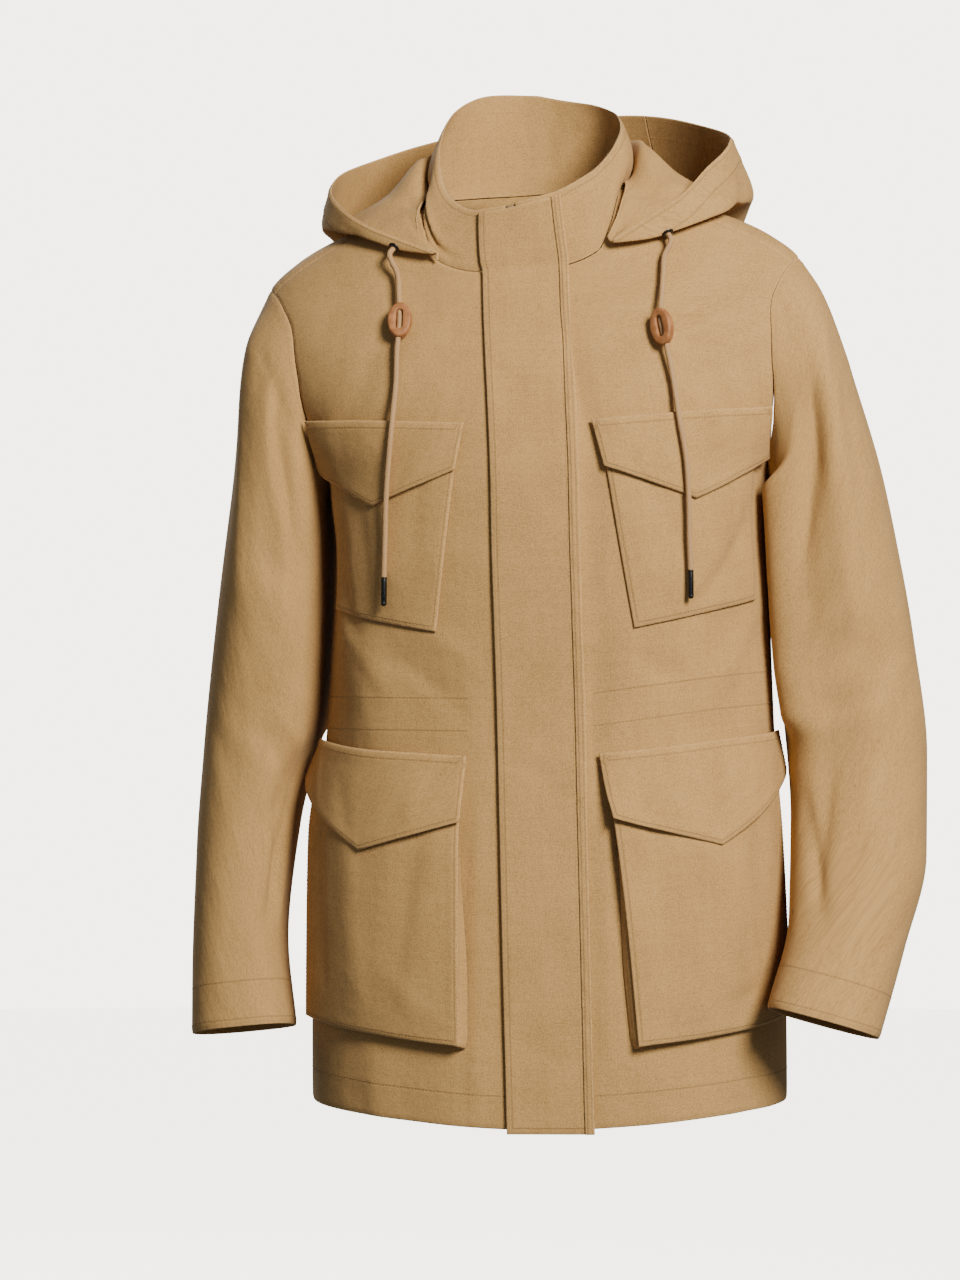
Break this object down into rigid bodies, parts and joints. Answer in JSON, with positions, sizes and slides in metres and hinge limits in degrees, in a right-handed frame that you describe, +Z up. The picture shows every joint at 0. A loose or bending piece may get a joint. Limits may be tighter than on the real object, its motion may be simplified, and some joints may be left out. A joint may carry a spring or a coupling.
{
  "type": "hooded field coat",
  "caption": "Hooded canvas field coat, worn: hollow body and sleeves, stand collar, hood thrown back, fly front over a zip, flapped chest and bellows pockets, hood cords.",
  "frame": {"origin": "the middle of the neck at the height of the shoulder line, where the wearer carries the coat", "axes": "+Z up, -Y the way the wearer faces, +X the wearer's left"},
  "size_m": [0.6288, 0.3532, 0.8865],
  "materials": {
    "canvas": "matt tan cotton canvas with a fine grain",
    "cord": "round braided cotton cord, light tan",
    "zip_tape": "woven tape with a chain of dark metal teeth",
    "leather": "smooth vegetable-tanned leather, satin",
    "gunmetal": "dark plated metal, satin"
  },
  "bodies": {
    "root": {"back": "canvas", "front_left": "canvas", "front_right": "canvas", "sleeve_left": "canvas", "sleeve_right": "canvas", "collar": "canvas", "hood_left": "canvas", "hood_centre": "canvas", "hood_right": "canvas", "placket": "canvas", "placket_strip": "canvas", "chest_pocket_left": "canvas", "chest_pocket_right": "canvas", "chest_flap_left": "canvas", "chest_flap_right": "canvas", "lower_pocket_left": "canvas", "lower_pocket_right": "canvas", "lower_flap_left": "canvas", "lower_flap_right": "canvas", "pocket_gusset_left": "canvas", "pocket_gusset_right": "canvas", "zip": "zip_tape", "cord_left": "cord", "cord_right": "cord", "cord_tip_left": "gunmetal", "cord_tip_right": "gunmetal", "toggle_left": "leather", "toggle_right": "leather", "eyelet_left": "gunmetal", "eyelet_right": "gunmetal"}
  },
  "joints": []
}
